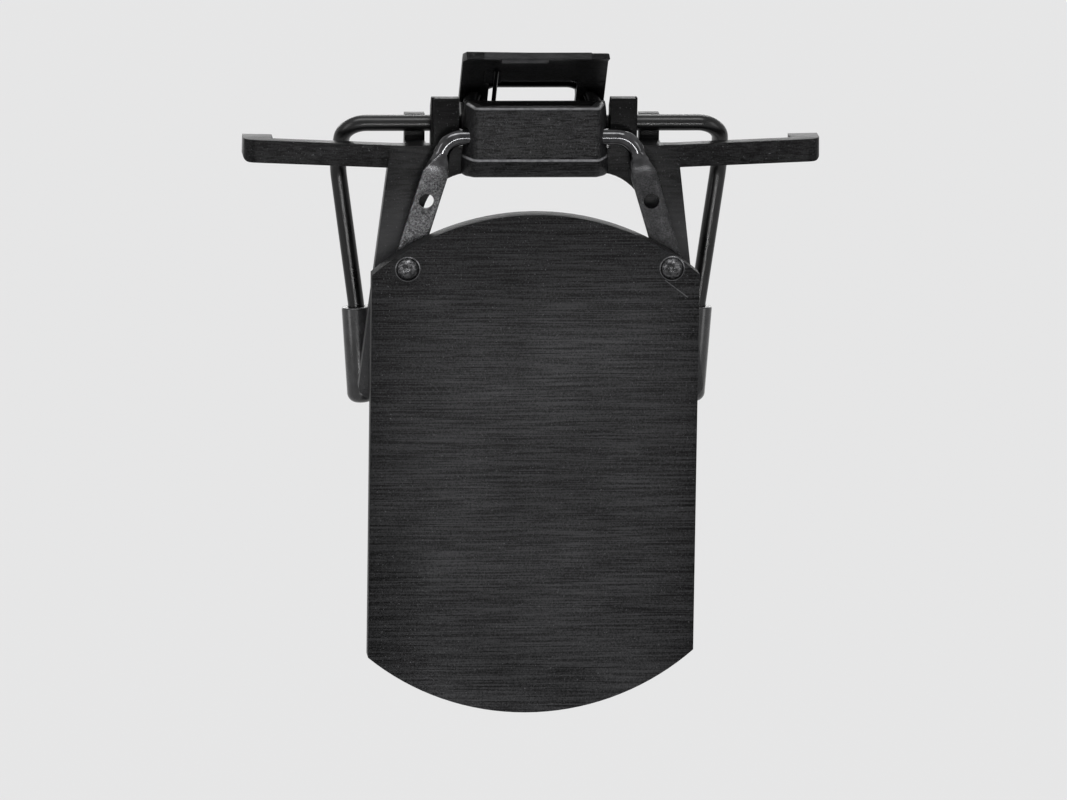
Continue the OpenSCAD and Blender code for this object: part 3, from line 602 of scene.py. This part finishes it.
def springPoints(s):
    def onCoil(angle):
        a = math.radians(s["lean"] - angle)
        return Vector((s["upperLegX"] + s["pitch"] * angle / 360,
                       s["axisDepth"] + s["coilRadius"] * math.cos(a),
                       s["coilRadius"] * math.sin(a)))
    lean = math.radians(s["lean"])
    up = Vector((0, -math.sin(lean), math.cos(lean))) * s["legLength"] / s["legSteps"]
    steps = round(s["turned"] / 360 * s["stepsPerTurn"])
    coil = [onCoil(s["turned"] * i / steps) for i in range(steps + 1)]
    leg = [coil[0] + up * k for k in range(s["legSteps"], 0, -1)]
    last = coil[-1]
    inward = (s["footDepth"] - last.y) / s["footSteps"]
    foot = [last + Vector((0, inward * k, 0)) for k in range(1, s["footSteps"] + 1)]
    return [place(*p) for p in leg + coil + foot]


def wireAlong(points, radius, sides):
    # a circle carried along the points and turned a little at each one
    after = points[1:] + points[-1:]
    before = points[:1] + points[:-1]
    ways = [(b - a).normalized() for a, b in zip(before, after)]
    work = bmesh.new()
    facing = ways[0].to_track_quat("Z", "X").to_matrix().to_4x4()
    bmesh.ops.create_circle(work, cap_ends=False, segments=sides, radius=radius,
                            matrix=Matrix.Translation(points[0]) @ facing)
    ring = list(work.edges)
    ends = [ring]
    for i in range(1, len(points)):
        grown = bmesh.ops.extrude_edge_only(work, edges=ring)["geom"]
        corners = [g for g in grown if isinstance(g, bmesh.types.BMVert)]
        edges = [g for g in grown if isinstance(g, bmesh.types.BMEdge)]
        ring = [e for e in edges if all(v in corners for v in e.verts)]
        bmesh.ops.rotate(work, verts=corners, cent=points[i - 1],
                         matrix=ways[i - 1].rotation_difference(ways[i]).to_matrix())
        bmesh.ops.translate(work, verts=corners, vec=points[i] - points[i - 1])
    ends.append(ring)
    for end in ends:
        bmesh.ops.holes_fill(work, edges=end, sides=sides)
    bmesh.ops.recalc_face_normals(work, faces=work.faces)
    return work


def makeSpring(s):
    work = wireAlong(springPoints(s), s["wireRadius"] * mm, s["sides"])
    spring = addPiece(work, "twistedSpring", None, finishes["springSteel"],
                      s["shadeAngle"])
    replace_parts(spring, "return_spring")
    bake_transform(spring)


makeSpring(springSettings)
print("stage: the spring is wound")


# small details of the lip and the rivets
lipSettings = {
    "rootDepth": 0.0195, "rootHeight": 6.154, "tilt": 14.5,   # where the lip leaves the wall
    "ribMiddleX": -1.15, "ribForward": 2.3, "ribUp": -0.14,
    "ribLength": 4.3, "ribDepth": 0.5, "ribHeight": 0.4, "round": 0.1, "segments": 2,
    "shadeAngle": 40,
}


def makeLipRib(s):
    tilt = math.radians(s["tilt"])
    forward = Vector((0, -math.cos(tilt), math.sin(tilt)))
    above = Vector((0, math.sin(tilt), math.cos(tilt)))
    root = Vector((s["ribMiddleX"], s["rootDepth"], s["rootHeight"]))
    middle = root + forward * s["ribForward"] + above * s["ribUp"]
    work = bmesh.new()
    bmesh.ops.create_cube(work, size=mm)
    bmesh.ops.scale(work, verts=work.verts, vec=(s["ribLength"], s["ribDepth"], s["ribHeight"]))
    roundEdges(work, list(work.edges), s["round"], s["segments"])
    bmesh.ops.rotate(work, verts=work.verts, cent=(0, 0, 0),
                     matrix=Matrix.Rotation(-tilt, 3, "X"))
    bmesh.ops.translate(work, verts=work.verts, vec=place(*middle))
    addPiece(work, "lipRib", "jaw", finishes["leverPlastic"], s["shadeAngle"])


rimSettings = {
    "rivetX": 12.1, "blinderShift": 0.35, "rivetZ": -12.4, "frontY": -3.675,
    "innerRadius": 1.0, "outerRadius": 1.2, "height": 0.06, "sunk": 0.02,
    "innerSlope": 0.06, "outerSlope": 0.1, "shoulder": 0.036, "steps": 40, "shadeAngle": 40,
}


def makeRivetRims(s):
    # a thin rim round each rivet's head, its section spun round the rivet
    section = ((s["innerRadius"], -s["sunk"]), (s["innerRadius"] + s["innerSlope"], s["height"]),
               (s["outerRadius"] - s["outerSlope"], s["shoulder"]),
               (s["outerRadius"], -s["sunk"]))
    for side, sign in (("left", -1), ("right", 1)):
        middle = place(s["blinderShift"] + sign * s["rivetX"], s["frontY"], s["rivetZ"])
        work = bmesh.new()
        corners = [work.verts.new(middle + Vector((r, -h, 0)) * mm) for r, h in section]
        edges = [work.edges.new(pair) for pair in zip(corners, corners[1:] + corners[:1])]
        bmesh.ops.spin(work, geom=corners + edges, cent=middle, axis=(0, 1, 0), angle=2 * math.pi,
                       steps=s["steps"], use_merge=True, use_duplicate=False)
        bmesh.ops.recalc_face_normals(work, faces=work.faces)
        addPiece(work, side + "RivetRim", "blinder", finishes["rimMetal"],
                 s["shadeAngle"])


makeLipRib(lipSettings)
makeRivetRims(rimSettings)
print("stage: the small details are added")


# floor, world and lamps
studio = {
    "floorDrop": 95.0,         # below the jaw's axis, mm
    "floorSize": 6.0,          # m
    "floorGlow": 0.9,          # how much of what the camera sees of the floor is its own grey
    "backgroundGrey": 0.785,   # the photograph's pale grey
    "worldGrey": 0.8,
    "worldStrength": 0.35,
    "lampAim": (0, 0, 0.01),
}


def seenDirectly(tree):
    # 1 for what the camera, gloss and clear parts see, 0 for what only lights the object
    path = tree.nodes.new("ShaderNodeLightPath").outputs
    first = maths(tree, "MAXIMUM", path["Is Camera Ray"], path["Is Glossy Ray"])
    return maths(tree, "MAXIMUM", first, path["Is Transmission Ray"])


def mixShaders(tree, factor, first, second, surface):
    mix = tree.nodes.new("ShaderNodeMixShader")
    tree.links.new(factor, mix.inputs["Fac"])
    tree.links.new(first, mix.inputs[1])
    tree.links.new(second, mix.inputs[2])
    tree.links.new(mix.outputs["Shader"], surface)


def makeFloor(s):
    work = bmesh.new()
    bmesh.ops.create_grid(work, x_segments=1, y_segments=1, size=s["floorSize"])
    bmesh.ops.translate(work, verts=work.verts, vec=place(0, 0, -s["floorDrop"]))
    mesh = bpy.data.meshes.new("paleFloor")
    work.to_mesh(mesh)
    work.free()
    floor = bpy.data.objects.new("paleFloor", mesh)
    scene.collection.objects.link(floor)
    mat, tree, out = emptyMaterial("paleFloor")
    diffuse = tree.nodes.new("ShaderNodeBsdfDiffuse")
    diffuse.inputs["Color"].default_value = grey(s["backgroundGrey"])
    glow = tree.nodes.new("ShaderNodeEmission")
    glow.inputs["Color"].default_value = (s["backgroundGrey"],) * 3 + (1,)
    seen = times(tree, seenDirectly(tree), s["floorGlow"])
    mixShaders(tree, seen, diffuse.outputs["BSDF"], glow.outputs["Emission"], out.inputs["Surface"])
    mesh.materials.append(mat)


def makeWorld(s):
    world = bpy.data.worlds.new("paleWorld")
    scene.world = world
    world.use_nodes = True
    tree = world.node_tree
    tree.nodes.clear()
    out = tree.nodes.new("ShaderNodeOutputWorld")
    lit, seen = (tree.nodes.new("ShaderNodeBackground") for _ in range(2))
    lit.inputs["Color"].default_value = (s["worldGrey"],) * 3 + (1,)
    lit.inputs["Strength"].default_value = s["worldStrength"]
    seen.inputs["Color"].default_value = (s["backgroundGrey"],) * 3 + (1,)
    mixShaders(tree, seenDirectly(tree), lit.outputs["Background"], seen.outputs["Background"],
               out.inputs["Surface"])


def areaLamp(name, aim, position, size, power, spread=180):
    data = bpy.data.lights.new(name, "AREA")
    data.shape = "RECTANGLE"
    data.size, data.size_y = size
    data.energy = power
    data.spread = math.radians(spread)
    lamp = bpy.data.objects.new(name, data)
    scene.collection.objects.link(lamp)
    lamp.location = Vector(position)
    look = Vector(aim) - Vector(position)
    lamp.rotation_euler = look.to_track_quat("-Z", "Y").to_euler()
    lamp.visible_camera = False


# places and sizes in m, power in W
lampSettings = {
    "topSoftbox": {"position": (-0.1, -0.32, 0.75), "size": (0.9, 0.28), "power": 5.5},
    "lowStrip": {"position": (0.0, -0.45, -0.05), "size": (0.3, 0.02), "power": 0.07,
                 "spread": 50},   # narrow, so that it lights no band on the floor
    "backSoftbox": {"position": (0.0, 0.9, 0.21), "size": (1.4, 0.12), "power": 2.4},
    "leftSoftbox": {"position": (-0.75, -0.35, 0.15), "size": (0.25, 0.6), "power": 1.6},
    "rightFill": {"position": (0.7, -0.5, 0.15), "size": (0.3, 0.5), "power": 1.3},
    "rearFill": {"position": (0.15, 0.55, 0.6), "size": (0.5, 0.2), "power": 1.6},
}
makeFloor(studio)
makeWorld(studio)
for lampName, lamp in lampSettings.items():
    areaLamp(lampName, studio["lampAim"], **lamp)
scene.view_settings.view_transform = "Standard"
print("stage: the studio is lit")
